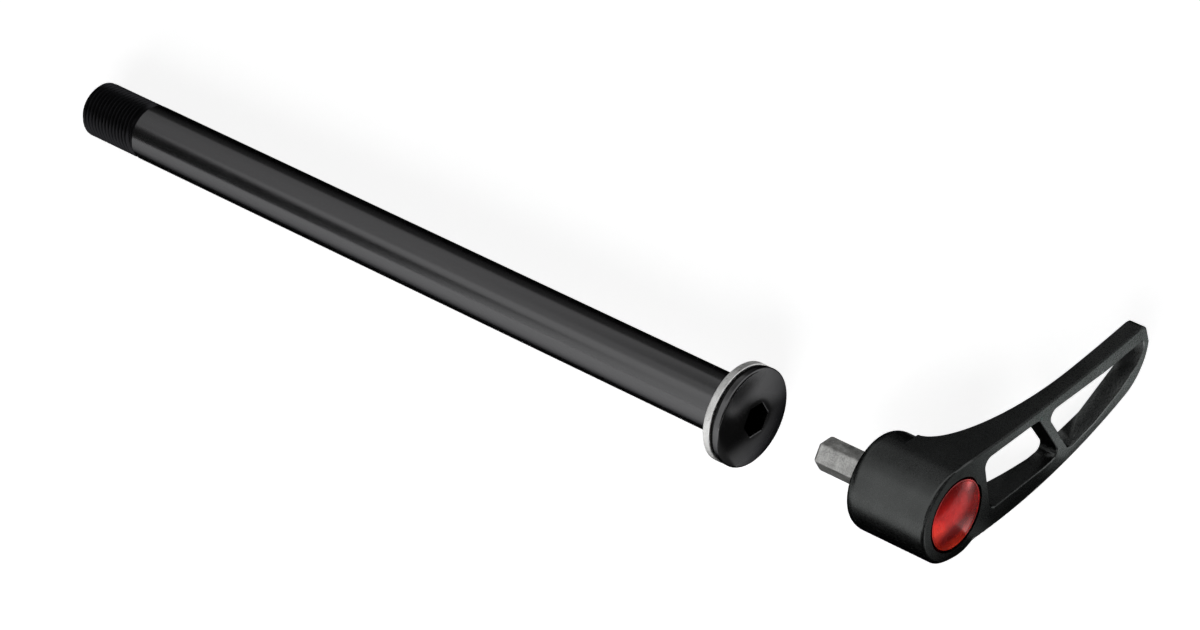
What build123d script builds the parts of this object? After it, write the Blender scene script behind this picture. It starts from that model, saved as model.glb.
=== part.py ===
from build123d import *
from math import asin, cos, pi, radians, sin
import os

# A 12 mm thru axle with a plug-in ratchet lever, drawn with the lever pulled out of its socket.
# Millimetres. The Y axis is the axle's centre line: +Y points to the thread and -Y to the lever.
# The origin is on the centre line in the plane of the washer's seat face, and the arm points to +X.
# Every place along the centre line is written as "out", the distance from the seat face towards the lever.

# Axle
shaft_diameter = 12.0
axle_length = 175.0
thread_length = 16.0
thread_diameter = 11.9
thread_undercut_length = 1.2
thread_undercut_floor = 0.4
thread_undercut_diameter = 10.7
tip_chamfer = 0.9
bore_diameter = 7.0
bore_mouth_chamfer = 0.5
web_behind_socket = 5.0
drill_point_height = 2.1

# Head, its washers and the shoulder that centres them
washer_thickness = 1.7
washer_diameter = 20.2
washer_bevel = 0.25
slip_washer_thickness = 0.5
slip_washer_diameter = 19.2
shoulder_diameter = 13.4
shoulder_setback = 0.3
head_diameter = 20.2
head_rim_thickness = 1.7
head_dome_height = 0.8
head_edge_radius = 0.45

# Hex drive
hex_across_flats = 6.0
hex_across_corners = 6.55
hex_turn = 48.0
hex_clearance = 0.05
hex_reach = 12.5
hex_tip_chamfer = 0.55
socket_floor_gap = 0.8
socket_mouth_chamfer = 0.35
socket_land = 0.75

# Running and seating clearances
running_clearance = 0.05
face_clearance = 0.05
seated_gap = 0.4

# Lever: drum
lever_gap = 28.9
drum_diameter = 19.7
drum_length = 18.3
drum_edge_radius = 1.3
drum_wall = 2.35
drum_web_thickness = 2.0
spring_chamber_diameter = 12.4

# Lever: arm, seen along the centre line
arm_thickness = 3.75
arm_top_angle = 78.0
arm_root_angle = -70.5
arm_belly_x = 32.0
arm_belly_z = -12.05
arm_heel_x = 50.5
arm_heel_z = -10.15
arm_tip_x = 59.1
arm_tip_z = -2.6
arm_tip_top_x = 58.6
arm_tip_top_z = 1.9
tip_corner_radius = 2.0
root_corner_radius = 3.0
sweep_start = 3.9
sweep_length = 33.9
sweep_depth = 9.1
sweep_lean = 15.0
arm_edge_bevel = 0.3
inboard_slope = 0.02

# Lever: the two windows and the bridge between them
rail_width = 1.8
window_start = 9.4
window_top_x = 13.7
window_top_z = 5.05
window_top_slope = -9.5
window_end_x = 51.0
window_end_z = -1.2
window_end_slope = -33.0
window_heel_z = -6.3
window_heel_slope = -8.0
window_floor_z = -8.6
bridge_width = 2.0
bridge_foot_x = 30.8
bridge_foot_z = -7.3
bridge_lean = 22.0
window_corner_radius = 1.6
window_edge_bevel = 0.25
shallow_turn = 20.0
quarter_turn = 90.0
same_point = 0.0001
cut_margin = 1.0

# Ratchet
tooth_count = 24
ring_length = 3.5
ring_setback = 0.5
ring_wall = 1.0
tooth_depth = 0.6
tooth_clearance = 0.1
tooth_root_share = 0.62
tooth_tip_share = 0.38
tooth_rooting = 0.1
flange_setback = 0.1
lift_clearance = 0.2

# Hex drive's neck, spring and retaining screw
neck_diameter = 6.0
spring_wire = 0.7
spring_wire_sides = 6
spring_mean_diameter = 8.0
spring_turns = 4.5
spring_space = 7.5
thrust_washer_diameter = 9.6
thrust_washer_thickness = 0.5
screw_head_diameter = 9.6
screw_head_thickness = 1.5
screw_head_bevel = 0.3
screw_shank_diameter = 3.0
screw_shank_length = 6.0
screw_key_across_flats = 2.5
screw_key_depth = 1.0
screw_hole_allowance = 1.0

# Cap
cap_seat_depth = 1.4
cap_rim_height = 0.25
cap_dome_height = 1.0
cap_wall = 1.2
cap_skirt_wall = 1.1

# Places along the centre line that follow from the sizes above
slip_washer_out = washer_thickness
flange_out = slip_washer_out + slip_washer_thickness
rim_out = flange_out + head_rim_thickness
head_top_out = rim_out + head_dome_height
socket_depth = hex_reach - seated_gap + socket_floor_gap
drum_in = head_top_out + lever_gap
face_out = drum_in + drum_length
hex_tip_out = drum_in - hex_reach
ring_in = drum_in + ring_setback
web_in = ring_in + ring_length
web_out = web_in + drum_web_thickness
thrust_washer_out = web_out + face_clearance
spring_in = thrust_washer_out + thrust_washer_thickness
screw_out = spring_in + spring_space
cap_seat_out = face_out - cap_seat_depth
drum_radius = drum_diameter / 2
ring_diameter = drum_diameter - 2 * drum_wall
cap_diameter = ring_diameter
tooth_root_radius = ring_diameter / 2 - ring_wall
tooth_tip_radius = tooth_root_radius - tooth_depth
index_step = 360 / tooth_count
lift_travel = web_in - flange_setback - ring_in + lift_clearance


def section(out):
    """The plane across the centre line at a distance outboard of the seat face; it extrudes outboard."""
    return Plane.XZ.offset(out)


def turned(points):
    """A solid of revolution about the centre line from (radius, out) points."""
    return revolve(make_face(Polyline([(r, -out) for r, out in points], close=True)), Axis.Y)


def washer(bore, diameter, start, thickness):
    """A flat round washer with its inner face at start."""
    return on_section(start, Circle(diameter / 2) - Circle(bore / 2), thickness)


def hexagon(across_flats):
    """The hex section, a corner turned up from the arm's line by the hex's turn."""
    return Rot(0, 0, hex_turn) * RegularPolygon(across_flats / 2, 6, major_radius=False)


def on_section(out, sketch, length):
    """A sketch extruded outboard from the plane at out."""
    return extrude(section(out) * sketch, length)


def make_axle_shaft():
    """The hollow shaft and its head, turned from one bar, with the hex socket in the head."""
    shaft = shaft_diameter / 2
    thread = thread_diameter / 2
    undercut = thread_undercut_diameter / 2
    head = head_diameter / 2
    edge = head_edge_radius
    corner = (hex_across_flats / 2 + hex_clearance) / cos(pi / 6)
    thread_start = thread_length - axle_length
    undercut_middle = thread_start - thread_undercut_length / 2
    body = turned([
        (0, -axle_length),
        (thread - tip_chamfer, -axle_length),
        (thread, tip_chamfer - axle_length),
        (thread, thread_start - thread_undercut_length),
        (undercut, undercut_middle - thread_undercut_floor / 2),
        (undercut, undercut_middle + thread_undercut_floor / 2),
        (shaft, thread_start),
        (shaft, shoulder_setback),
        (shoulder_diameter / 2, shoulder_setback),
        (shoulder_diameter / 2, flange_out),
        (head - edge, flange_out),
        (head, flange_out + edge),
        (head, rim_out - edge),
        (head - edge, rim_out),
        (corner + socket_mouth_chamfer + socket_land, head_top_out),
        (0, head_top_out),
    ])
    socket_bottom = head_top_out - socket_depth
    socket = on_section(socket_bottom, hexagon(hex_across_flats + 2 * hex_clearance), socket_depth)
    mouth = turned([
        (0, head_top_out),
        (corner + socket_mouth_chamfer, head_top_out),
        (corner - socket_mouth_chamfer, head_top_out - 2 * socket_mouth_chamfer),
        (0, head_top_out - 2 * socket_mouth_chamfer),
    ])
    drill_end = socket_bottom - web_behind_socket
    bore = bore_diameter / 2
    hollow = turned([
        (0, -axle_length),
        (bore + bore_mouth_chamfer, -axle_length),
        (bore, bore_mouth_chamfer - axle_length),
        (bore, drill_end - drill_point_height),
        (0, drill_end),
    ])
    return body - socket - mouth - hollow


def make_seat_washer():
    """The plain washer that bears on the frame."""
    bore = shoulder_diameter + 2 * running_clearance
    blank = washer(bore, washer_diameter, 0, washer_thickness)
    rims = blank.edges().filter_by(GeomType.CIRCLE).group_by(SortBy.RADIUS)[-1]
    return chamfer(rims, washer_bevel)


def make_slip_washer():
    """The thin plastic washer that lets the head turn on the seat washer."""
    bore = shoulder_diameter + 2 * running_clearance
    return washer(bore, slip_washer_diameter, slip_washer_out, slip_washer_thickness)


def teeth(tip_radius, root_radius, slack):
    """The spline teeth as one sketch: trapezoids that point inwards, wide at the root radius."""
    half_root = radians(index_step) * tooth_root_share / 2 - slack / root_radius
    half_tip = radians(index_step) * tooth_tip_share / 2 - slack / tip_radius
    tooth = make_face(Polyline([
        (root_radius * cos(half_root) + tooth_rooting, root_radius * sin(half_root)),
        (root_radius * cos(half_root) + tooth_rooting, -root_radius * sin(half_root)),
        (tip_radius * cos(half_tip), -tip_radius * sin(half_tip)),
        (tip_radius * cos(half_tip), tip_radius * sin(half_tip)),
    ], close=True))
    return [Rot(0, 0, index_step * i) * tooth for i in range(tooth_count)]


def make_ratchet_ring():
    """The steel ring pressed into the drum, with straight inward teeth."""
    ring = Circle(ring_diameter / 2) - Circle(tooth_root_radius)
    return on_section(ring_in, ring + teeth(tooth_tip_radius, tooth_root_radius, 0), ring_length)


def make_hex_drive():
    """The steel hex bit with its toothed flange and the neck that carries the lever."""
    across = hex_across_flats
    corner = hex_across_corners / 2
    flange_length = web_in - flange_setback - ring_in
    hexed = on_section(hex_tip_out, hexagon(across), ring_in - hex_tip_out)
    blank = turned([
        (0, hex_tip_out),
        (across / 2 - hex_tip_chamfer / 2, hex_tip_out),
        (corner, hex_tip_out + hex_tip_chamfer),
        (corner, ring_in),
        (0, ring_in),
    ])
    wheel = Circle(tooth_root_radius - tooth_clearance) - teeth(
        tooth_tip_radius - tooth_clearance, tooth_root_radius, -tooth_clearance
    )
    flange = on_section(ring_in, wheel, flange_length)
    neck = on_section(ring_in, Circle(neck_diameter / 2), screw_out - ring_in)
    hole_depth = screw_shank_length + screw_hole_allowance
    hole = on_section(screw_out - hole_depth, Circle(screw_shank_diameter / 2 + running_clearance), hole_depth)
    return (hexed & blank) + flange + neck - hole


def make_thrust_washer():
    """The hardened washer between the drum's web and the spring."""
    bore = neck_diameter + 2 * running_clearance
    return washer(bore, thrust_washer_diameter, thrust_washer_out, thrust_washer_thickness)


def make_spring():
    """The compression spring round the neck."""
    height = spring_space - spring_wire - 2 * face_clearance
    path = Helix(height / spring_turns, height, spring_mean_diameter / 2)
    profile = (path ^ 0) * RegularPolygon(spring_wire / 2, spring_wire_sides)
    coil = sweep(profile, path, is_frenet=True)
    return section(spring_in + spring_wire / 2 + face_clearance) * coil


def make_retaining_screw():
    """The wide-headed screw that holds the spring on the neck."""
    head = screw_head_diameter / 2
    shank = screw_shank_diameter / 2
    top = screw_out + screw_head_thickness
    body = turned([
        (0, screw_out - screw_shank_length),
        (shank, screw_out - screw_shank_length),
        (shank, screw_out),
        (head, screw_out),
        (head, top - screw_head_bevel),
        (head - screw_head_bevel, top),
        (0, top),
    ])
    return body - on_section(top - screw_key_depth, RegularPolygon(
        screw_key_across_flats / 2, 6, major_radius=False
    ), screw_key_depth)


def arm_outline():
    """The lever's outline: the arm from the drum's top round the tip to its belly side, and the drum."""
    top = radians(arm_top_angle)
    root = radians(arm_root_angle)
    top_start = (drum_radius * cos(top), drum_radius * sin(top))
    root_start = (drum_radius * cos(root), drum_radius * sin(root))
    heel = (arm_heel_x, arm_heel_z)
    tip = (arm_tip_x, arm_tip_z)
    tip_top = (arm_tip_top_x, arm_tip_top_z)
    belly = ThreePointArc(root_start, (arm_belly_x, arm_belly_z), heel)
    face = make_face([
        TangentArc(top_start, tip_top, tangent=(sin(top), -cos(top))),
        Line(tip_top, tip),
        TangentArc(heel, tip, tangent=belly % 1),
        belly,
        Line(root_start, (0, 0)),
        Line((0, 0), top_start),
    ])
    corner = face.vertices().sort_by_distance(Vector(*tip_top))[0]
    whole = fillet(corner, tip_corner_radius) + Circle(drum_radius)
    root_corner = whole.vertices().sort_by_distance(Vector(*root_start))[0]
    return fillet(root_corner, root_corner_radius)


def sharp_corners(face):
    """The vertices where a flat face's outline turns by more than a shallow angle."""
    found = []
    for vertex in face.vertices():
        leaving = []
        for edge in face.outer_wire().edges():
            if (edge @ 0 - Vector(vertex)).length < same_point:
                leaving.append(edge % 0)
            elif (edge @ 1 - Vector(vertex)).length < same_point:
                leaving.append(-(edge % 1))
        if len(leaving) == 2 and leaving[0].get_angle(leaving[1]) < 180 - shallow_turn:
            found.append(vertex)
    return found


def half_plane(x, z, slope):
    """Everything above a line through a point, as wide and high as the windows could need."""
    reach = 4 * drum_diameter
    return Pos(x, z) * Rot(0, 0, slope) * Pos(0, reach / 2) * Rectangle(2 * reach, reach)


def arm_windows(outline):
    """The two windows: the outline drawn in by the rail's width, trimmed straight, parted by the leaning bridge."""
    inside = offset(outline, -rail_width) - half_plane(window_top_x, window_top_z, window_top_slope)
    inside = inside - half_plane(window_end_x, window_end_z, window_end_slope)
    inside = inside & half_plane(window_start, 0, -quarter_turn)
    inside = inside & half_plane(window_start, window_heel_z, window_heel_slope)
    inside = inside & half_plane(window_start, window_floor_z, 0)
    bridge = Pos(bridge_foot_x, bridge_foot_z) * Rot(0, 0, bridge_lean) * Rectangle(bridge_width, 4 * drum_diameter)
    panes = (inside - bridge).faces().sort_by(Axis.X)
    return [pane.fillet_2d(window_corner_radius, sharp_corners(pane)) for pane in panes]


def rim_edges(faces):
    """The edges that bound a group of faces: those that belong to only one of them."""
    edges = [edge for face in faces for edge in face.edges()]
    return [edge for edge in edges if edges.count(edge) == 1]


def on_outline(point):
    """Whether a point of the blade's rim is on the lever's outline, which stays outside the drum's radius."""
    return Vector(point.X, 0, point.Z).length > drum_radius - same_point


def make_blade(outline):
    """The arm before its windows: swept down to the drum on its inboard side, more so along its top."""
    far = arm_tip_x + drum_radius
    back = face_out - arm_thickness
    deep = back - sweep_depth
    flat_start = sweep_start + sweep_length
    side = make_face([
        Line((-cut_margin, -deep), (sweep_start, -deep)),
        EllipticalCenterArc(
            (flat_start, -deep), sweep_length, sweep_depth,
            start_angle=2 * quarter_turn, arc_size=quarter_turn,
        ),
        Line((flat_start, -back), (far, -back)),
        Line((far, -back), (far, -face_out)),
        Line((far, -face_out), (-cut_margin, -face_out)),
        Line((-cut_margin, -face_out), (-cut_margin, -deep)),
    ])
    swept = Rot(0, sweep_lean, 0) * extrude(side, 2 * drum_diameter, both=True)
    blade = on_section(drum_in, outline, drum_length) & swept
    inboard = [face for face in blade.faces() if face.normal_at().Y > inboard_slope]
    return chamfer([edge for edge in rim_edges(inboard) if on_outline(edge @ 0.5)], arm_edge_bevel)


def make_lever_body():
    """The forged lever: drum, swept root, arm and windows in one piece."""
    drum = on_section(drum_in, Circle(drum_radius), drum_length)
    inner_rim = drum.edges().filter_by(GeomType.CIRCLE).sort_by(Axis.Y)[-1]
    outline = arm_outline()
    body = fillet(inner_rim, drum_edge_radius) + make_blade(outline)
    front = body.faces().sort_by(Axis.Y)[0]
    body = chamfer(front.outer_wire().edges(), arm_edge_bevel)
    for window in arm_windows(outline):
        body -= on_section(drum_in - cut_margin, window, drum_length + 2 * cut_margin)
        front = body.faces().sort_by(Axis.Y)[0]
        newest = front.inner_wires().sort_by(Axis.X)[-1]
        body = chamfer(newest.edges(), window_edge_bevel)

    mouth = on_section(drum_in, Circle(ring_diameter / 2), web_in - drum_in)
    web_hole = on_section(web_in, Circle(neck_diameter / 2 + running_clearance), drum_web_thickness)
    chamber = on_section(web_out, Circle(spring_chamber_diameter / 2), cap_seat_out - web_out)
    cap_seat = on_section(cap_seat_out, Circle(cap_diameter / 2), cap_seat_depth)
    return body - mouth - web_hole - chamber - cap_seat


def crown_arc(radius, height, crown_out):
    """A shallow dome's profile: part of a sphere, from its rim to its crown on the centre line."""
    ball = (radius ** 2 + height ** 2) / (2 * height)
    half = asin(radius / ball) / 2
    return ThreePointArc(
        (radius, height - crown_out),
        (ball * sin(half), ball * (1 - cos(half)) - crown_out),
        (0, -crown_out),
    )


def make_cap():
    """The domed cap that closes the drum."""
    outer = cap_diameter / 2
    inner = outer - cap_skirt_wall
    rim = face_out + cap_rim_height
    crown = rim + cap_dome_height
    ceiling = rim - cap_wall
    return revolve(make_face([
        Line((0, -crown), (0, -ceiling)),
        Line((0, -ceiling), (inner, -ceiling)),
        Line((inner, -ceiling), (inner, -cap_seat_out)),
        Line((inner, -cap_seat_out), (outer, -cap_seat_out)),
        Line((outer, -cap_seat_out), (outer, -rim)),
        crown_arc(outer, cap_dome_height, crown),
    ]), Axis.Y)


pieces = {
    "axle_shaft": make_axle_shaft(),
    "seat_washer": make_seat_washer(),
    "slip_washer": make_slip_washer(),
    "lever_body": make_lever_body(),
    "ratchet_ring": make_ratchet_ring(),
    "hex_drive": make_hex_drive(),
    "thrust_washer": make_thrust_washer(),
    "spring": make_spring(),
    "retaining_screw": make_retaining_screw(),
    "cap": make_cap(),
}

os.makedirs("parts", exist_ok=True)
for name, solid in pieces.items():
    export_step(solid, f"parts/{name}.step")
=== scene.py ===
"""Models and finishes a bicycle thru axle and its plug-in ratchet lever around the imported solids.

The Y axis is the axle's centre line: +Y points to the thread and -Y to the lever. The origin is in the plane
of the washer's seat face. "Out" is the distance from that plane towards the lever, in millimetres.
"""

from math import atan2, cos, hypot, pi, radians, sin

import bmesh
import bpy
from bpy.props import FloatProperty, FloatVectorProperty, PointerProperty
from mathutils import Matrix, Vector
from mathutils.geometry import interpolate_bezier


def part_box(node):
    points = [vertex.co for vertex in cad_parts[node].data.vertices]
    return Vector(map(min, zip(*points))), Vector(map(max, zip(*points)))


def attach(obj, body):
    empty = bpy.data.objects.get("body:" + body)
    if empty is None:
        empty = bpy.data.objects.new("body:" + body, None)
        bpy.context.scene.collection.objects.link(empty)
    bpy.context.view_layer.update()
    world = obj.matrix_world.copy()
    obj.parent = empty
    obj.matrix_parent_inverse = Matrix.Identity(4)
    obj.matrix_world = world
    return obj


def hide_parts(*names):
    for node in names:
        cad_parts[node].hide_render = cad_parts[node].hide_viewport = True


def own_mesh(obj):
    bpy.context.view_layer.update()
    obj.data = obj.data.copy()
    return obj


bl_info = {
    "name": "Thru Axle and Ratchet Lever",
    "version": (1, 0, 0),
    "blender": (4, 5, 0),
    "location": "View3D > Sidebar > Thru Axle",
    "description": "Models and finishes a thru axle with its ratchet lever around the packed solids",
    "category": "Add Mesh",
}

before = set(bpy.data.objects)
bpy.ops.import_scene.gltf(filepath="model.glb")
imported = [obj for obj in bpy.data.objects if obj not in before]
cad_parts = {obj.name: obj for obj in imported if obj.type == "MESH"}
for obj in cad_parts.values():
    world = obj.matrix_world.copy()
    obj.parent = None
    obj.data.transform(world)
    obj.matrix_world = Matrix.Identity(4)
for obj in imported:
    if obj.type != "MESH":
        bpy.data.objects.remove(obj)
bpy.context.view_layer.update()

MM = 0.001
SAME_PLACE = 0.002 * MM
ROUND_STEPS = 96
SHARP_TURN = radians(24)
SHADED_SHARP_TURN = radians(42)
HEX_TURN = radians(48)
RIM_FROM = 8.0


def near_out(node):
    """The place of a solid's inboard end, in millimetres outboard of the seat face."""
    return -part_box(node)[1].y / MM


def far_out(node):
    """The place of a solid's outboard end, in millimetres outboard of the seat face."""
    return -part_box(node)[0].y / MM


def widest_radius(node):
    """The radius of a turned solid, in millimetres."""
    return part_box(node)[1].z / MM


# Shapes


def place(radius, out, turn=0.0):
    """A point from its distance to the centre line, its place along it and its turn from +X up to +Z."""
    return Vector((radius * cos(turn), -out, radius * sin(turn))) * MM


def turned(points, closed=False, steps=ROUND_STEPS, turn=0.0):
    """Spins a profile of (radius, out) points a full turn about the centre line."""
    shape = bmesh.new()
    corners = [shape.verts.new(place(radius, out, turn)) for radius, out in points]
    pairs = list(zip(corners, corners[1:]))
    if closed:
        pairs.append((corners[-1], corners[0]))
    profile = corners + [shape.edges.new(pair) for pair in pairs]
    bmesh.ops.spin(
        shape, geom=profile, cent=(0, 0, 0), axis=(0, 1, 0), angle=2 * pi, steps=steps, use_merge=True
    )
    bmesh.ops.remove_doubles(shape, verts=shape.verts, dist=SAME_PLACE)
    return shape


def absorb(shape, other):
    """Moves another shape's geometry into this one."""
    carrier = bpy.data.meshes.new("carrier")
    other.to_mesh(carrier)
    other.free()
    shape.from_mesh(carrier)
    bpy.data.meshes.remove(carrier)


def rim(shape, out):
    """The open edges that lie in the plane at out."""
    level = -out * MM
    return [
        edge for edge in shape.edges
        if edge.is_boundary and all(abs(corner.co.y - level) < SAME_PLACE for corner in edge.verts)
    ]


def join_rims(shape, one_out, other_out):
    """Closes the gap between two open rims."""
    bmesh.ops.bridge_loops(shape, edges=rim(shape, one_out) + rim(shape, other_out))


def drawn_from_rim(shape, edges, moved):
    """Extrudes an open rim, puts each new corner where moved says, and returns the new rim."""
    grown = bmesh.ops.extrude_edge_only(shape, edges=edges)["geom"]
    for corner in grown:
        if isinstance(corner, bmesh.types.BMVert):
            corner.co = moved(corner.co)
    return [edge for edge in grown if isinstance(edge, bmesh.types.BMEdge) and edge.is_boundary]


def round_edges(shape, radius, segments=3, sharper_than=SHARP_TURN, keep=lambda edge: True):
    """Rounds the edges that turn by more than an angle."""
    edges = [
        edge for edge in shape.edges
        if edge.is_manifold and edge.calc_face_angle(0) > sharper_than and keep(edge)
    ]
    bmesh.ops.bevel(
        shape, geom=edges, offset=radius * MM, offset_type="OFFSET", segments=segments, profile=0.5,
        affect="EDGES", clamp_overlap=True, material=-1,
    )


def copy_of_solid(node):
    """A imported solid's mesh with its loose triangles joined and its flat faces made whole."""
    shape = bmesh.new()
    shape.from_mesh(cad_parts[node].data)
    bmesh.ops.remove_doubles(shape, verts=shape.verts, dist=SAME_PLACE)
    bmesh.ops.dissolve_limit(
        shape, angle_limit=radians(0.3), verts=shape.verts, edges=shape.edges, delimit={"NORMAL"}
    )
    return shape


def finished(name, shape, finishes, body, stands_for=()):
    """Makes a piece from a shape: outward faces, even shading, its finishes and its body."""
    bmesh.ops.recalc_face_normals(shape, faces=shape.faces)
    mesh = bpy.data.meshes.new(name)
    shape.to_mesh(mesh)
    shape.free()
    mesh.shade_smooth()
    mesh.set_sharp_from_angle(angle=SHADED_SHARP_TURN)
    for finish in finishes:
        mesh.materials.append(finish)
    piece = bpy.data.objects.new(name, mesh)
    bpy.context.scene.collection.objects.link(piece)
    shading = piece.modifiers.new("even_shading", "WEIGHTED_NORMAL")
    shading.keep_sharp = True
    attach(piece, body)
    if stands_for:
        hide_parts(*stands_for)
    return piece


# Finishes


class Finish:
    """A material being wired up, with its shader and its output ready."""

    def __init__(self, name):
        self.material = bpy.data.materials.new(name)
        self.material.use_nodes = True
        self.tree = self.material.node_tree
        self.shader = self.tree.nodes["Principled BSDF"]
        self.space = self.add("ShaderNodeTexCoord").outputs["Object"]

    def add(self, kind, sockets=None, **settings):
        """Adds a node. A socket's value is a plain value or another node's output."""
        node = self.tree.nodes.new(kind)
        for key, value in settings.items():
            setattr(node, key, value)
        for key, value in (sockets or {}).items():
            self.set(node.inputs[key], value)
        return node

    def set(self, socket, value):
        """Links or sets one socket."""
        if isinstance(value, bpy.types.NodeSocket):
            self.tree.links.new(value, socket)
        else:
            socket.default_value = value

    def shade(self, **values):
        """Sets the shader's own sockets, with underscores for the spaces in their names."""
        for key, value in values.items():
            self.set(self.shader.inputs[key.replace("_", " ")], value)

    def grain(self, size, detail=3.0, roughness=0.6, stretch=(1, 1, 1), turn=(0, 0, 0)):
        """Noise with grains of about a size in millimetres, stretched along the axes."""
        turned_space = self.add(
            "ShaderNodeMapping", {"Vector": self.space, "Rotation": turn, "Scale": [1 / s for s in stretch]}
        )
        return self.add(
            "ShaderNodeTexNoise",
            {
                "Vector": turned_space.outputs["Vector"], "Scale": 1 / (size * MM),
                "Detail": detail, "Roughness": roughness,
            },
        ).outputs["Fac"]

    def between(self, factor, low, high, start=0.35, end=0.65):
        """A number that goes from low to high as the factor goes from start to end."""
        return self.add(
            "ShaderNodeMapRange",
            {"Value": factor, "From Min": start, "From Max": end, "To Min": low, "To Max": high},
        ).outputs["Result"]

    def blend(self, factor, one, other):
        """A colour between two others."""
        mix = self.add("ShaderNodeMix", data_type="RGBA")
        self.set(mix.inputs["Factor"], factor)
        self.set(mix.inputs[6], one)
        self.set(mix.inputs[7], other)
        return mix.outputs[2]

    def sum(self, one, other, operation="ADD"):
        """Two numbers combined."""
        return self.add("ShaderNodeMath", {0: one, 1: other}, operation=operation).outputs[0]

    def relief(self, height, depth, strength=1.0):
        """Turns a height into surface relief of a depth in millimetres."""
        bump = self.add("ShaderNodeBump", {"Height": height, "Distance": depth * MM, "Strength": strength})
        self.shade(Normal=bump.outputs["Normal"])


def shade_of(colour, share):
    """A colour made darker or lighter, with its alpha."""
    return (*[channel * share for channel in colour[:3]], 1.0)


def anodised(
    name, colour, grain_size, grain_depth, roughness, drawn=(1, 1, 1), mottle=0.12, spread=0.07,
    coarse_from=None,
):
    """A dyed anodised alloy: satin grain, coarser past a place along X, and dark at low angles."""
    finish = Finish(name)
    fine = finish.grain(grain_size, detail=4.0, stretch=drawn)
    broad = finish.grain(grain_size * 22, detail=2.0, stretch=drawn)
    tone = finish.sum(fine, finish.sum(broad, 0.6, "MULTIPLY"))
    factor = finish.between(tone, 0.0, 1.0, 0.6, 1.0)
    finish.shade(
        Base_Color=finish.blend(factor, shade_of(colour, 1 - mottle), shade_of(colour, 1 + mottle)),
        Roughness=finish.between(fine, roughness - spread, roughness + spread),
        Metallic=1.0,
        Specular_Tint=(0.0, 0.0, 0.0, 1.0),
    )
    if coarse_from:
        across = finish.add("ShaderNodeSeparateXYZ", {"Vector": finish.space}).outputs["X"]
        growth = finish.between(across, 0.0, 4.0, coarse_from * MM, 2.2 * coarse_from * MM)
        coarse = finish.sum(finish.grain(grain_size * 2.2, detail=2.0), growth, "MULTIPLY")
        finish.relief(finish.sum(fine, coarse), grain_depth)
    else:
        finish.relief(fine, grain_depth)
    return finish.material


def bare_metal(
    name, colour, grain_size, grain_depth, roughness, drawn=(1, 1, 1), metallic=1.0, mottle=0.15, edge=1.0
):
    """A bare or plated metal with its working marks and faint stains."""
    finish = Finish(name)
    fine = finish.grain(grain_size, detail=4.0, stretch=drawn)
    broad = finish.grain(grain_size * 6, detail=3.0)
    tone = finish.sum(finish.sum(fine, broad), 0.5, "MULTIPLY")
    factor = finish.between(tone, 0.0, 1.0, 0.38, 0.62)
    finish.shade(
        Base_Color=finish.blend(factor, shade_of(colour, 1 - mottle), shade_of(colour, 1 + mottle)),
        Roughness=finish.between(broad, roughness - 0.08, roughness + 0.1),
        Metallic=metallic,
        Specular_Tint=(edge, edge, edge, 1.0),
    )
    finish.relief(fine, grain_depth)
    return finish.material


def cap_finish(colours):
    """Red lacquer under a thin clear coat, with a darker swirl, and painted light: a lighter, warmer red low
    on its left.
    """
    finish = Finish("cap_lacquer")
    swirl = finish.grain(9.0, detail=1.0, roughness=0.4, stretch=(1, 1, 0.6), turn=(0, 0.9, 0))
    cloud = finish.grain(2.6, detail=2.0)
    depth = finish.between(finish.sum(swirl, finish.sum(cloud, 0.35, "MULTIPLY")), 0.0, 1.0, 0.55, 0.85)
    # Painted light: the red turns lighter and warmer towards the lower left of the cap, as if lit from there.
    downward = finish.add(
        "ShaderNodeVectorMath", {0: finish.space, 1: (-0.6, 0.0, -0.8)}, operation="DOT_PRODUCT"
    ).outputs["Value"]
    painted_lit_side = finish.between(downward, 0.0, 1.0, 0.5 * MM, 6.5 * MM)
    red = finish.blend(painted_lit_side, shade_of(colours.cap_red, 1.0), shade_of(colours.cap_painted_lit_red, 1.0))
    finish.shade(
        Base_Color=finish.blend(depth, red, shade_of(colours.cap_dark, 1.0)),
        Roughness=finish.between(cloud, 0.2, 0.32),
        Metallic=0.4,
        Specular_Tint=(0.45, 0.02, 0.02, 1.0),
        Coat_Weight=0.2,
        Coat_Roughness=0.1,
    )
    finish.relief(finish.grain(1.8, detail=2.0), 0.004)
    return finish.material


# Settings


class AxleSettings(bpy.types.PropertyGroup):
    """Sizes and colours of the axle, its head and its washers."""

    thread_pitch: FloatProperty(
        name="Thread pitch", description="Pitch of the fine thread, in millimetres", default=1.0
    )
    thread_root: FloatProperty(
        name="Thread root radius", description="Radius at the bottom of the thread, in millimetres",
        default=5.35,
    )
    head_edge: FloatProperty(
        name="Head edge radius", description="Rounding of the head's rim, in millimetres", default=0.28
    )
    shaft_colour: FloatVectorProperty(
        name="Shaft", description="Dyed anodising of the shaft and head", subtype="COLOR", size=4,
        default=(0.108, 0.108, 0.11, 1.0),
    )
    thread_colour: FloatVectorProperty(
        name="Thread", description="Oiled black of the thread", subtype="COLOR", size=4,
        default=(0.024, 0.024, 0.026, 1.0),
    )
    washer_colour: FloatVectorProperty(
        name="Seat washer", description="Blasted bare alloy of the seat washer", subtype="COLOR", size=4,
        default=(0.68, 0.68, 0.67, 1.0),
    )
    slip_colour: FloatVectorProperty(
        name="Slip washer", description="Dark plastic of the slip washer", subtype="COLOR", size=4,
        default=(0.02, 0.02, 0.02, 1.0),
    )


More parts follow.
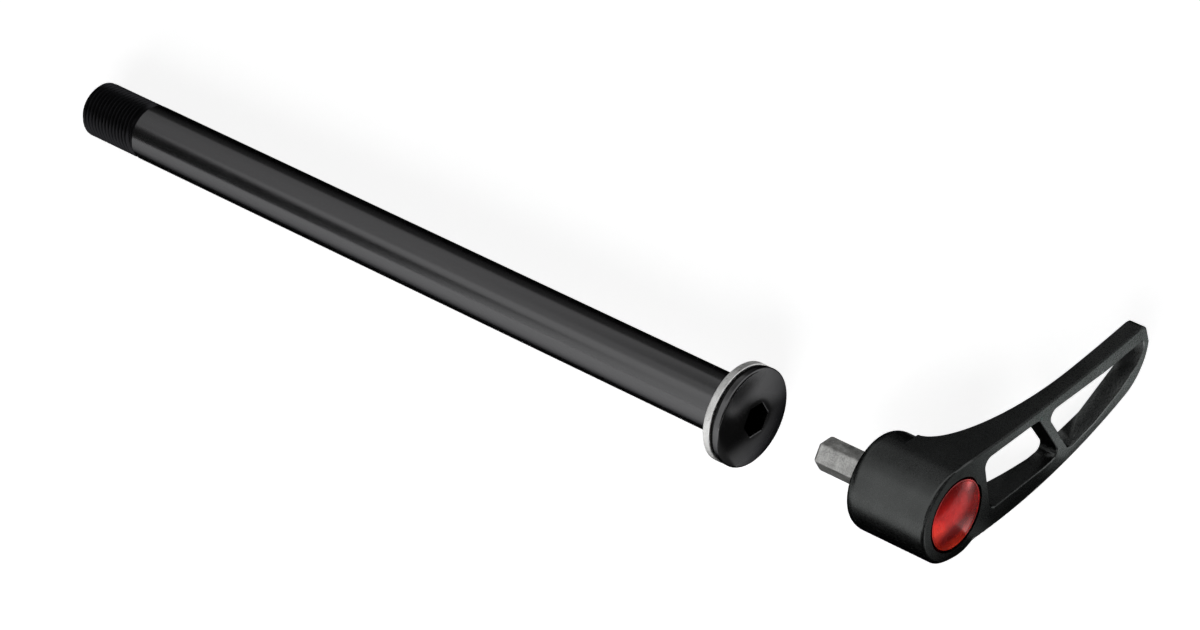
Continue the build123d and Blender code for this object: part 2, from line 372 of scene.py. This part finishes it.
class LeverSettings(bpy.types.PropertyGroup):
    """Sizes and colours of the lever, its hex bit and its cap."""

    hex_corner_radius: FloatProperty(
        name="Hex corner radius", description="Rounding of the hex's long corners, in millimetres",
        default=0.35,
    )
    hex_tip_radius: FloatProperty(
        name="Hex tip radius", description="Rounding of the hex's tip, in millimetres", default=0.75
    )
    spring_turns: FloatProperty(name="Spring turns", description="Turns of the spring", default=4.5)
    rim_bevel: FloatProperty(
        name="Drum rim bevel", description="Bevel round the drum's free outer rim, in millimetres",
        default=0.85,
    )
    lever_colour: FloatVectorProperty(
        name="Lever", description="Dyed anodising of the lever", subtype="COLOR", size=4,
        default=(0.07, 0.073, 0.072, 1.0),
    )
    hex_colour: FloatVectorProperty(
        name="Hex steel", description="Bare steel of the hex bit", subtype="COLOR", size=4,
        default=(0.4, 0.4, 0.39, 1.0),
    )
    ring_colour: FloatVectorProperty(
        name="Ratchet steel", description="Oiled hardened steel of the ratchet ring", subtype="COLOR", size=4,
        default=(0.36, 0.36, 0.37, 1.0),
    )
    spring_colour: FloatVectorProperty(
        name="Spring steel", description="Drawn wire of the spring", subtype="COLOR", size=4,
        default=(0.4, 0.4, 0.41, 1.0),
    )
    screw_colour: FloatVectorProperty(
        name="Screw steel", description="Black oxide of the retaining screw", subtype="COLOR", size=4,
        default=(0.06, 0.06, 0.06, 1.0),
    )
    # The gap is dark from its depth and also from painted shade on its faces.
    cap_gap: FloatProperty(
        name="Cap gap", description="Width of the dark gap round the cap's lip, in millimetres", default=0.42
    )
    cap_lip: FloatProperty(name="Cap lip", description="Width of the cap's lip, in millimetres", default=0.5)
    cap_red: FloatVectorProperty(
        name="Cap red", description="Main red of the cap", subtype="COLOR", size=4,
        default=(0.62, 0.012, 0.01, 1.0),
    )
    # Painted light: the lighter, warmer red painted low on the cap's left.
    cap_painted_lit_red: FloatVectorProperty(
        name="Cap orange", description="Warmer red low on the cap", subtype="COLOR", size=4,
        default=(0.78, 0.04, 0.012, 1.0),
    )
    # Painted shade: a near-black red painted on the cap's side, its lip rounding and the gap round it.
    cap_painted_shade: FloatVectorProperty(
        name="Cap border", description="Dark red of the cap's side and gap", subtype="COLOR", size=4,
        default=(0.03, 0.004, 0.006, 1.0),
    )
    cap_dark: FloatVectorProperty(
        name="Cap dark red", description="Darker red of the cap's swirl", subtype="COLOR", size=4,
        default=(0.2, 0.006, 0.006, 1.0),
    )


class StageSettings(bpy.types.PropertyGroup):
    """The floor, the lamps and the camera."""

    floor_size: FloatProperty(name="Floor size", description="Side of the floor", default=6.0, unit="LENGTH")
    key_power: FloatProperty(
        name="Key lamp", description="Power of the low lamp on the left", default=9.0, unit="POWER"
    )
    fill_power: FloatProperty(
        name="Fill lamp", description="Power of the soft lamp overhead", default=1.0, unit="POWER"
    )
    world_strength: FloatProperty(
        name="Room light", description="Brightness of the room all round", default=0.06
    )
    lens: FloatProperty(name="Lens", description="Focal length of the camera", default=132.0, unit="CAMERA")


# Axle


def hex_radius(turn, across_flats, corner_turn):
    """The distance from the centre line to a hexagon's side in one direction."""
    from_middle = (turn - corner_turn) % (pi / 3) - pi / 6
    return across_flats / 2 / cos(from_middle)


def add_socket(shape, head_top, floor_out, across_flats, corner_turn):
    """Cuts the hex socket in from a round rim: a flat land, a fine hex bevel, six walls and a floor."""
    bevel = 0.12

    def hexagon(extra, out):
        def on_it(corner):
            turn = atan2(corner.z, corner.x)
            return place(hex_radius(turn, across_flats + 2 * extra, corner_turn), out, turn)
        return on_it

    land_edges = drawn_from_rim(shape, rim(shape, head_top), hexagon(bevel, head_top))
    wall_edges = drawn_from_rim(shape, land_edges, hexagon(0.0, head_top - bevel))
    floor_edges = drawn_from_rim(
        shape, wall_edges, lambda corner: Vector((corner.x, -floor_out * MM, corner.z))
    )
    bmesh.ops.contextual_create(shape, geom=floor_edges)


def thread_shape(start, end, pitch, crest, root, envelope):
    """A right-handed 60 degree thread between two places, cut down to an envelope at its ends."""
    flank = (crest - root) / 2 * 1.1547
    flat = (pitch - 2 * flank) / 2
    turns = int((end - start) / pitch) + 3
    first = start - pitch
    shape = bmesh.new()
    profile = [
        (root, first), (root, first + flat), (crest, first + flat + flank),
        (crest, first + 2 * flat + flank), (root, first + pitch),
    ]
    corners = [shape.verts.new(place(radius, -along)) for radius, along in profile]
    edges = [shape.edges.new(pair) for pair in zip(corners, corners[1:])]
    bmesh.ops.spin(
        shape, geom=corners + edges, cent=(0, 0, 0), axis=(0, 1, 0), angle=2 * pi * turns,
        dvec=(0, pitch * MM / ROUND_STEPS, 0), steps=ROUND_STEPS * turns, use_merge=False,
    )
    bmesh.ops.remove_doubles(shape, verts=shape.verts, dist=SAME_PLACE)
    for along, way in ((start, -1), (end, 1)):
        everything = [*shape.verts, *shape.edges, *shape.faces]
        bmesh.ops.bisect_plane(
            shape, geom=everything, plane_co=(0, along * MM, 0), plane_no=(0, way, 0), clear_outer=True
        )
    for corner in shape.verts:
        radius = hypot(corner.co.x, corner.co.z)
        allowed = min(radius, envelope(corner.co.y / MM) * MM)
        corner.co.x *= allowed / radius
        corner.co.z *= allowed / radius
    return shape


class THRUAXLE_OT_axle(bpy.types.Operator):
    """Model the axle: head with its hex socket, shaft, real thread and bore"""

    bl_idname = "thruaxle.axle"
    bl_label = "Axle"

    def execute(self, context):
        settings = context.scene.thruaxle_axle
        tip = -near_out("axle_shaft")
        head_top = far_out("axle_shaft")
        head = widest_radius("axle_shaft")
        edge = settings.head_edge
        flange, rim_out, shoulder, setback, shaft = 2.2, 3.9, 6.7, 0.3, 6.0
        mouth, land, rim_radius = 3.872, 0.75, 0.16
        socket_depth, socket_flats = 12.9, 6.1
        undercut, crest, chamfer, lead, hair = settings.thread_root, 5.95, 0.9, 3.0, 0.02
        thread_end = tip - 16.0
        thread_start = thread_end + 0.8
        bore, bore_start, cone_tip = 3.5, 15.3, 13.2
        shape = turned([
            (mouth, head_top), (mouth + land, head_top),
            (6.4, head_top - 0.22), (8.1, head_top - 0.47),
            (head - edge, rim_out), (head, rim_out - edge),
            (head, flange + edge), (head - edge, flange),
            (shoulder, flange), (shoulder, setback), (shaft, setback),
            (shaft, -thread_end), (undercut, -thread_end - 0.4), (undercut, -thread_end - 0.6),
        ], turn=HEX_TURN)
        round_edges(
            shape, rim_radius, keep=lambda e: min(hypot(c.co.x, c.co.z) for c in e.verts) > RIM_FROM * MM
        )

        def envelope(along):
            if along < tip - lead:
                return max(undercut, min(undercut + 1.5 * (along - thread_start), crest))
            return min(crest, crest - chamfer + tip - along)

        absorb(shape, thread_shape(
            thread_start, tip - hair, settings.thread_pitch, crest, settings.thread_root, envelope
        ))
        absorb(shape, turned([
            (crest - chamfer, -tip), (bore + 0.5, -tip), (bore, 0.5 - tip), (bore, -bore_start),
            (0.0, -cone_tip),
        ]))
        join_rims(shape, -thread_end - 0.6, -thread_start)
        join_rims(shape, hair - tip, -tip)
        add_socket(shape, head_top, head_top - socket_depth, socket_flats, HEX_TURN)
        thread_faces = [
            face for face in shape.faces
            if min(c.co.y for c in face.verts) > (thread_end - 0.01) * MM
            and max(hypot(c.co.x, c.co.z) for c in face.verts) > 4.5 * MM
        ]
        for face in thread_faces:
            face.material_index = 1
        shaft_finish = anodised(
            "shaft_anodised", settings.shaft_colour, 0.12, 0.0008, 0.2, drawn=(1, 30, 1), mottle=0.05,
            spread=0.02,
        )
        thread_finish = anodised("thread_black", settings.thread_colour, 0.07, 0.006, 0.32)
        finished("axle", shape, [shaft_finish, thread_finish], "axle", ["axle_shaft"])
        return {"FINISHED"}


class THRUAXLE_OT_washers(bpy.types.Operator):
    """Model the pale seat washer and the thin dark slip washer under the head"""

    bl_idname = "thruaxle.washers"
    bl_label = "Washers"

    def execute(self, context):
        settings = context.scene.thruaxle_axle
        bore, air = 6.75, 0.015
        for name, node, body, slot, rounding, finish in (
            ("seat_ring", "seat_washer", "washer", "washer_alloy", 0.25,
             bare_metal("washer_blasted", settings.washer_colour, 0.12, 0.01, 0.34, edge=0.05)),
            ("slip_ring", "slip_washer", "axle", "slip_plastic", 0.08,
             anodised("slip_plastic", settings.slip_colour, 0.1, 0.008, 0.5)),
        ):
            # Without this air the two rings would meet in one plane, and turn in it.
            outer, inner_face, outer_face = widest_radius(node), near_out(node) + air, far_out(node)
            shape = turned([
                (bore, inner_face), (outer, inner_face), (outer, outer_face), (bore, outer_face)
            ], closed=True)
            round_edges(shape, rounding, segments=4, keep=lambda e: hypot(*e.verts[0].co.xz) > RIM_FROM * MM)
            finished(name, shape, [finish], body, [node])
        return {"FINISHED"}


# Lever


def widen_rim_bevel(shape, radius, bevel, face_out, extra, free_from, free_to, blend_turn):
    """Widens the bevel round the drum's free rim, out of nothing where the arm's edges begin."""
    for corner in shape.verts:
        turn = atan2(corner.co.z, corner.co.x) % (2 * pi)
        past_start = max(0.0, (turn - free_from) / blend_turn)
        before_end = max(0.0, (free_to - turn) / blend_turn)
        share = min(1.0, past_start, before_end)
        amount = extra * share * share * (3 - 2 * share) * MM
        distance = hypot(corner.co.x, corner.co.z)
        on_wall = abs(distance - radius * MM) < SAME_PLACE
        on_face = abs(distance - (radius - bevel) * MM) < SAME_PLACE
        if on_wall and abs(corner.co.y + (face_out - bevel) * MM) < SAME_PLACE:
            corner.co.y += amount
        elif on_face and abs(corner.co.y + face_out * MM) < SAME_PLACE:
            corner.co.x *= (distance - amount) / distance
            corner.co.z *= (distance - amount) / distance


def height_at(x, stations):
    """The height at x on the straight runs between (x, z) stations."""
    for (x_one, z_one), (x_two, z_two) in zip(stations, stations[1:]):
        if x <= x_two:
            break
    return z_one + (z_two - z_one) * (x - x_one) / (x_two - x_one)


def taper_window(shape, face_out, bevel):
    """Draws the outer window out to the arm's tip and tapers its floor and end towards the back."""
    end_from_x, end_above_z = 50.6, -6.3
    floor_from_x, floor_end_x = 33.6, 48.93
    levels = {
        "front": (
            ((56.2, -0.95), (58.6, -0.95), (58.0, -3.9), (54.99, -5.7)),
            ((33.9, -9.9), (41.0, -9.6), (49.0, -7.95), (54.99, -5.7)),
        ),
        "bevel": (
            ((56.1, -1.2), (58.25, -1.2), (57.7, -3.75), (54.85, -5.47)),
            ((33.9, -9.65), (41.0, -9.35), (49.0, -7.7), (54.85, -5.47)),
        ),
        "back": (
            ((54.9, -1.5), (57.0, -1.6), (56.2, -4.2), (52.7, -5.5)),
            ((33.5, -8.6), (41.0, -8.6), (49.0, -6.5), (52.7, -5.5)),
        ),
    }

    def walls():
        ring = [
            corner for corner in shape.verts
            if abs(corner.co.y + (face_out - bevel) * MM) < SAME_PLACE and corner.co.x > 30 * MM
        ]
        faces = {face for corner in ring for face in corner.link_faces}
        return {corner for face in faces for corner in face.verts}, faces

    for x in (41, 46):
        corners, faces = walls()
        edges = {edge for face in faces for edge in face.edges}
        bmesh.ops.bisect_plane(
            shape, geom=[*corners, *edges, *faces], plane_co=(x * MM, 0, 0), plane_no=(1, 0, 0)
        )
    ends = {level: [] for level in levels}
    for corner in walls()[0]:
        x, z = corner.co.x / MM, corner.co.z / MM
        depth = corner.co.y / MM + face_out
        level = "front" if depth < 0.1 else "bevel" if depth < bevel + 0.1 else "back"
        floor = levels[level][1]
        if x > end_from_x and z > end_above_z:
            ends[level].append(corner)
        elif x > floor_from_x and z < end_above_z:
            if level == "back" and x > 48.9:
                corner.co.x = (49 + (x - floor_end_x) * 0.628) * MM
            corner.co.z = height_at(corner.co.x / MM, floor) * MM
        elif level != "back" and z < -7.5:
            corner.co += Vector((0.42, 0, -1.05)) * MM
    for level, corners in ends.items():
        corners.sort(key=lambda c: atan2(c.co.z + 4.6 * MM, c.co.x - 50 * MM), reverse=True)
        curve = interpolate_bezier(*[Vector((x, 0, z)) * MM for x, z in levels[level][0]], len(corners))
        for corner, target in zip(corners, curve):
            corner.co.x, corner.co.z = target.x, target.z


def stretch_inner_rounding(shape, radius, rounding, inner_out, length):
    """Makes the rounding of the drum's inner rim longer along the drum than it is deep."""
    for corner in shape.verts:
        along = -corner.co.y / MM - inner_out
        distance = hypot(corner.co.x, corner.co.z) / MM
        if 0 < along < rounding + 0.01 and radius - rounding - 0.01 < distance < radius + 0.01:
            corner.co.y = -(inner_out + along * length / rounding) * MM


class THRUAXLE_OT_lever(bpy.types.Operator):
    """Finish the forged lever: drum, swept root, arm and windows"""

    bl_idname = "thruaxle.lever"
    bl_label = "Lever"

    def execute(self, context):
        settings = context.scene.thruaxle_lever
        shape = copy_of_solid("lever_body")
        drum, bevel = 9.85, 0.3
        face_out = far_out("lever_body")
        widen_rim_bevel(
            shape, drum, bevel, face_out, settings.rim_bevel - bevel, radians(78), radians(289.5), radians(50)
        )
        taper_window(shape, face_out, 0.25)
        stretch_inner_rounding(shape, drum, 1.3, near_out("lever_body"), 2.1)
        finish = anodised(
            "lever_anodised", settings.lever_colour, 0.22, 0.012, 0.3, mottle=0.12, coarse_from=11.0
        )
        finished("lever", shape, [finish], "lever", ["lever_body"])
        return {"FINISHED"}


class THRUAXLE_OT_hex(bpy.types.Operator):
    """Model the hex bit with its rounded corners, in one with its toothed flange and neck"""

    bl_idname = "thruaxle.hex"
    bl_label = "Hex bit"

    def execute(self, context):
        settings = context.scene.thruaxle_lever
        hex_in = near_out("hex_drive")
        flange_in, across = 34.1, 6.0
        shape = bmesh.new()
        made = bmesh.ops.create_circle(
            shape, cap_ends=True, segments=6, radius=across / 2 / cos(pi / 6) * MM
        )
        bmesh.ops.rotate(shape, verts=made["verts"], matrix=Matrix.Rotation(radians(90), 3, "X"))
        first = min(shape.verts, key=lambda c: c.co.z)
        turn = atan2(first.co.z, first.co.x)
        bmesh.ops.rotate(shape, verts=shape.verts, matrix=Matrix.Rotation(turn - HEX_TURN, 3, "Y"))
        bmesh.ops.translate(shape, verts=shape.verts, vec=(0, -hex_in * MM, 0))
        grown = bmesh.ops.extrude_face_region(shape, geom=list(shape.faces))["geom"]
        moved = [corner for corner in grown if isinstance(corner, bmesh.types.BMVert)]
        bmesh.ops.translate(shape, verts=moved, vec=(0, -(flange_in - hex_in) * MM, 0))
        round_edges(
            shape, settings.hex_corner_radius, keep=lambda e: abs(e.verts[0].co.y - e.verts[1].co.y) > MM
        )
        round_edges(
            shape, settings.hex_tip_radius, segments=4, sharper_than=radians(50),
            keep=lambda e: all(abs(c.co.y + hex_in * MM) < SAME_PLACE for c in e.verts),
        )
        rest = copy_of_solid("hex_drive")
        bmesh.ops.bisect_plane(
            rest, geom=[*rest.verts, *rest.edges, *rest.faces], plane_co=(0, -(flange_in - 0.01) * MM, 0),
            plane_no=(0, 1, 0), clear_outer=True,
        )
        absorb(shape, rest)
        finish = bare_metal(
            "hex_steel", settings.hex_colour, 0.3, 0.02, 0.38, metallic=0.85, mottle=0.34, edge=0.3
        )
        finished("hex_bit", shape, [finish], "drive", ["hex_drive"])
        return {"FINISHED"}


class THRUAXLE_OT_spring(bpy.types.Operator):
    """Wind the round wire spring that pulls the lever on to its teeth"""

    bl_idname = "thruaxle.spring"
    bl_label = "Spring"

    def execute(self, context):
        settings = context.scene.thruaxle_lever
        inner_end, outer_end = near_out("spring"), far_out("spring")
        wire, coil, steps = 0.35, 4.0, 24
        shape = bmesh.new()
        made = bmesh.ops.create_circle(shape, cap_ends=False, segments=10, radius=wire * MM)
        bmesh.ops.translate(shape, verts=made["verts"], vec=Vector((coil, 0, 0)) * MM)
        bmesh.ops.translate(shape, verts=shape.verts, vec=(0, -(inner_end + wire) * MM, 0))
        total = int(steps * settings.spring_turns)
        rise = -(outer_end - inner_end - 2 * wire) * MM / total
        bmesh.ops.spin(
            shape, geom=[*shape.verts, *shape.edges], cent=(0, 0, 0), axis=(0, 1, 0),
            angle=2 * pi * settings.spring_turns, dvec=(0, rise, 0), steps=total, use_merge=False,
        )
        bmesh.ops.remove_doubles(shape, verts=shape.verts, dist=SAME_PLACE)
        bmesh.ops.holes_fill(shape, edges=[edge for edge in shape.edges if edge.is_boundary], sides=12)
        finish = bare_metal("spring_wire", settings.spring_colour, 0.05, 0.004, 0.35)
        piece = finished("coil_spring", shape, [finish], "thrust", ["spring"])
        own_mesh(piece)
        return {"FINISHED"}


class THRUAXLE_OT_cap(bpy.types.Operator):
    """Turn the domed cap, give it its red lacquer, and paint shade on its side and in the gap round it"""

    bl_idname = "thruaxle.cap"
    bl_label = "Cap"

    def execute(self, context):
        settings = context.scene.thruaxle_lever
        seat, crown, outer = near_out("cap"), far_out("cap"), widest_radius("cap")
        wall, groove, lip_top = 1.1, 0.1, far_out("lever_body") - 0.1
        gap_floor = lip_top - 0.5
        edge = outer - settings.cap_gap
        inner = edge - settings.cap_lip
        flattened = 0.7
        dome = flattened * (crown - lip_top)
        ball = (inner ** 2 + dome ** 2) / (2 * dome)
        rings = 16
        arc = []
        for step in range(rings + 1):
            radius = inner * (1 - step / rings)
            arc.append((radius, lip_top + dome - ball + (ball ** 2 - radius ** 2) ** 0.5))
        skirt, play, lip_round = 0.45, 0.02, 0.12
        shape = turned([
            (0.0, seat + skirt), (outer - wall, seat + skirt), (outer - wall, seat), (outer - play, seat),
            (outer - play, gap_floor), (edge, gap_floor), (edge, lip_top - lip_round),
            (edge - 0.04, lip_top - 0.04), (edge - lip_round, lip_top), (inner + 0.1, lip_top),
            (inner + 0.02, lip_top - groove), *arc
        ])
        # Painted shade: the lip's outer rounding, the cap's side and the gap's floor and wall get a
        # near-black red that stands for the shade in the gap.
        for face in shape.faces:
            if min(hypot(corner.co.x, corner.co.z) for corner in face.verts) > (edge - 0.13) * MM:
                face.material_index = 1
        painted_shade = anodised("cap_painted_shade", settings.cap_painted_shade, 0.1, 0.004, 0.4)
        finished("lever_cap", shape, [cap_finish(settings), painted_shade], "lever", ["cap"])
        return {"FINISHED"}


class THRUAXLE_OT_works(bpy.types.Operator):
    """Finish the ratchet ring, the thrust washer and the retaining screw inside the drum"""

    bl_idname = "thruaxle.works"
    bl_label = "Ratchet works"

    def execute(self, context):
        settings = context.scene.thruaxle_lever
        ring = bare_metal("ring_steel", settings.ring_colour, 0.08, 0.008, 0.36, drawn=(1, 6, 1))
        screw = bare_metal("screw_oxide", settings.screw_colour, 0.09, 0.008, 0.4, metallic=0.6)
        washer = bare_metal("thrust_steel", settings.ring_colour, 0.06, 0.005, 0.28)
        for node, finish in (("ratchet_ring", ring), ("retaining_screw", screw), ("thrust_washer", washer)):
            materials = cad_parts[node].data.materials
            materials.clear()
            materials.append(finish)
        return {"FINISHED"}


# Stage


def area_lamp(name, position, target, size, power):
    """A soft square lamp that looks at a point."""
    data = bpy.data.lights.new(name, "AREA")
    data.shape = "SQUARE"
    data.size = size
    data.energy = power
    lamp = bpy.data.objects.new(name, data)
    lamp.location = position
    lamp.visible_glossy = False
    lamp.rotation_mode = "QUATERNION"
    lamp.rotation_quaternion = (Vector(target) - Vector(position)).to_track_quat("-Z", "Y")
    bpy.context.scene.collection.objects.link(lamp)


def card(name, corners, level, soft=0.0):
    """A flat card that only gloss sees. A soft edge, in metres, fades it to the white of the paper."""
    shape = bmesh.new()
    bmesh.ops.contextual_create(shape, geom=[shape.verts.new(corner) for corner in corners])
    fade = shape.verts.layers.float.new("fade")
    if soft:
        shape.normal_update()
        bmesh.ops.inset_region(
            shape, faces=shape.faces, thickness=soft, use_boundary=True, use_even_offset=True,
        )
        for corner in shape.verts:
            corner[fade] = 1.0 if corner.is_boundary else 0.0
    mesh = bpy.data.meshes.new(name)
    shape.to_mesh(mesh)
    shape.free()
    felt = Finish(name)
    tone = felt.between(felt.grain(4.0), level * 0.9, level * 1.1)
    faded = felt.add("ShaderNodeAttribute", attribute_name="fade").outputs["Fac"]
    felt.shade(
        Base_Color=(0.0, 0.0, 0.0, 1.0),
        Specular_IOR_Level=0.0,
        Emission_Color=(1.0, 1.0, 1.0, 1.0),
        Emission_Strength=felt.between(faded, tone, 1.0, 0.0, 1.0),
    )
    mesh.materials.append(felt.material)
    piece = bpy.data.objects.new(name, mesh)
    piece.visible_camera = False
    piece.visible_diffuse = False
    piece.visible_shadow = False
    bpy.context.scene.collection.objects.link(piece)


def when_seen(tree, strength):
    """A strength where the camera, a gloss or a glass sees the surface, and nothing for other light."""
    path = tree.nodes.new("ShaderNodeLightPath")
    value = path.outputs["Is Camera Ray"]
    for operation, other in (
        ("MAXIMUM", path.outputs["Is Glossy Ray"]), ("MAXIMUM", path.outputs["Is Transmission Ray"]),
        ("MULTIPLY", strength),
    ):
        step = tree.nodes.new("ShaderNodeMath")
        step.operation = operation
        tree.links.new(value, step.inputs[0])
        if isinstance(other, bpy.types.NodeSocket):
            tree.links.new(other, step.inputs[1])
        else:
            step.inputs[1].default_value = other
        value = step.outputs[0]
    return value


class THRUAXLE_OT_stage(bpy.types.Operator):
    """Set the pale floor, the soft lamps, the room light and the camera"""

    bl_idname = "thruaxle.stage"
    bl_label = "Stage"

    def execute(self, context):
        settings = context.scene.thruaxle_stage
        foot_y, foot_z = -50.0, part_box("lever_body")[0].z / MM - 0.04
        thread_y, thread_z = 175.0, -6.02
        paper_dark, paper_light = (0.8, 0.8, 0.8, 1.0), (0.83, 0.83, 0.83, 1.0)
        slope = (thread_z - foot_z) / (thread_y - foot_y)

        def on_floor(x, y, above=0.0):
            return Vector((x, y, foot_z + slope * (y - foot_y) + above)) * MM

        half = settings.floor_size / 2 / MM
        shape = bmesh.new()
        square = ((-half, -half), (half, -half), (half, half), (-half, half))
        floor_corners = [on_floor(x, y) for x, y in square]
        bmesh.ops.contextual_create(shape, geom=[shape.verts.new(corner) for corner in floor_corners])
        mesh = bpy.data.meshes.new("floor")
        shape.to_mesh(mesh)
        shape.free()
        paper = Finish("paper_floor")
        fibre = paper.grain(3.0, detail=2.0)
        paper.shade(
            Base_Color=paper.blend(paper.between(fibre, 0.0, 1.0), paper_dark, paper_light),
            Roughness=0.9,
            Specular_IOR_Level=0.0,
            Emission_Color=(1.0, 1.0, 1.0, 1.0),
            Emission_Strength=when_seen(paper.tree, 0.82),
        )
        mesh.materials.append(paper.material)
        floor = bpy.data.objects.new("floor", mesh)
        context.scene.collection.objects.link(floor)

        world = bpy.data.worlds.new("room")
        world.use_nodes = True
        context.scene.world = world
        tree = world.node_tree
        total = tree.nodes.new("ShaderNodeMath")
        total.operation = "ADD"
        tree.links.new(when_seen(tree, 1.0 - settings.world_strength), total.inputs[0])
        total.inputs[1].default_value = settings.world_strength
        background = tree.nodes["Background"]
        background.inputs["Color"].default_value = (1.0, 1.0, 1.0, 1.0)
        tree.links.new(total.outputs[0], background.inputs["Strength"])

        def flat(x_near, x_far, y_near, y_far, z):
            return ((x_near, y_near, z), (x_far, y_near, z), (x_far, y_far, z), (x_near, y_far, z))

        def upright(x_near, x_far, y, z_low, z_high):
            return ((x_near, y, z_low), (x_far, y, z_low), (x_far, y, z_high), (x_near, y, z_high))

        def on_paper(x_near, x_far, y_near, y_far, above):
            around = ((x_near, y_near), (x_far, y_near), (x_far, y_far), (x_near, y_far))
            return [on_floor(x, y, above) for x, y in around]

        card("side_card", ((1.2, 0.2, -0.2), (1.2, 2.2, -0.2), (1.2, 2.2, 1.33), (1.2, 0.2, 1.33)), 0.13)
        for name, corners, level in (
            ("top_card", flat(-0.53, 0.9, 0.69, 1.9, 1.0), 0.62),
            ("streak_card", flat(-0.57, -0.53, 0.69, 1.9, 1.0), 0.5),
            ("drum_card", flat(-0.08, 0.9, 0.3, 0.69, 1.0), 0.2),
            ("drum_card_left", flat(-0.5, -0.08, 0.3, 0.69, 1.0), 0.5),
            ("end_card", upright(-0.7, 0.25, 0.6, -0.1, 0.42), 0.02),
            ("front_card", upright(-1.3, 0.9, -0.7, -0.1, 0.8), 0.02),
            ("rim_light", upright(-0.4, -0.12, -0.66, 0.3, 0.5), 1.6),
        ):
            card(name, corners, level)
        for name, spot, level, soft in (
            ("floor_card_drum", (-25, -5, -28, 0, 0.3), 0.15, 0.0),
            ("floor_card_head", (-34, 19, -64, -6, 0.2), 0.03, 0.006),
            ("floor_card_head_top", (6, 32, -64, -28, 0.25), 0.1, 0.006),
            ("floor_card_arm", (24, 84, -72, -52.2, 0.2), 3.6, 0.003),
            ("floor_card_rim", (-80, -7.5, -150, -50.5, 0.35), 0.03, 0.0),
            ("floor_card_cap", (-8, 150, -180, -80, 0.2), 0.04, 0.0),
        ):
            card(name, on_paper(*spot), level, soft)

        middle = (0.01, 0.05, 0.0)
        area_lamp("key_lamp", (-0.78, -0.42, 0.22), middle, 0.5, settings.key_power)
        area_lamp("fill_lamp", (-0.1, 0.1, 1.2), middle, 0.8, settings.fill_power)

        data = bpy.data.cameras.new("camera")
        data.lens = settings.lens
        data.sensor_width = 36.0
        data.clip_start = 0.01
        data.clip_end = 50.0
        camera = bpy.data.objects.new("camera", data)
        right, up, back = (0.651, -0.7457, -0.142), (0.5645, 0.3509, 0.7472), (-0.507, -0.5664, 0.649)
        eye = (-0.4246, -0.4415, 0.5521)
        facing = Matrix((right, up, back)).transposed().to_4x4()
        camera.matrix_world = Matrix.Translation(eye) @ facing
        context.scene.collection.objects.link(camera)
        context.scene.camera = camera
        context.scene.view_settings.view_transform = "Standard"
        return {"FINISHED"}


class THRUAXLE_PT_sidebar(bpy.types.Panel):
    """Lists the pieces of the axle and its lever"""

    bl_idname = "THRUAXLE_PT_sidebar"
    bl_label = "Thru Axle"
    bl_space_type = "VIEW_3D"
    bl_region_type = "UI"
    bl_category = "Thru Axle"

    def draw(self, context):
        for group, operators in GROUPS:
            box = self.layout.box()
            for operator in operators:
                box.operator(operator.bl_idname)
            settings = getattr(context.scene, group)
            for key in settings.__annotations__:
                box.prop(settings, key)


GROUPS = (
    ("thruaxle_axle", (THRUAXLE_OT_axle, THRUAXLE_OT_washers)),
    ("thruaxle_lever", (
        THRUAXLE_OT_lever, THRUAXLE_OT_hex, THRUAXLE_OT_spring, THRUAXLE_OT_cap, THRUAXLE_OT_works,
    )),
    ("thruaxle_stage", (THRUAXLE_OT_stage,)),
)
SETTINGS = (AxleSettings, LeverSettings, StageSettings)


def register():
    """Registers the settings, the operators and the panel."""
    for settings, (group, operators) in zip(SETTINGS, GROUPS):
        bpy.utils.register_class(settings)
        setattr(bpy.types.Scene, group, PointerProperty(type=settings))
        for operator in operators:
            bpy.utils.register_class(operator)
    bpy.utils.register_class(THRUAXLE_PT_sidebar)


def unregister():
    """Takes them away again."""
    bpy.utils.unregister_class(THRUAXLE_PT_sidebar)
    for settings, (group, operators) in zip(SETTINGS, GROUPS):
        for operator in operators:
            bpy.utils.unregister_class(operator)
        delattr(bpy.types.Scene, group)
        bpy.utils.unregister_class(settings)


def main():
    """Registers everything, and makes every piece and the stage."""
    register()
    for _, operators in GROUPS:
        for operator in operators:
            kind, name = operator.bl_idname.split(".")
            getattr(getattr(bpy.ops, kind), name)()


if __name__ == "__main__":
    main()
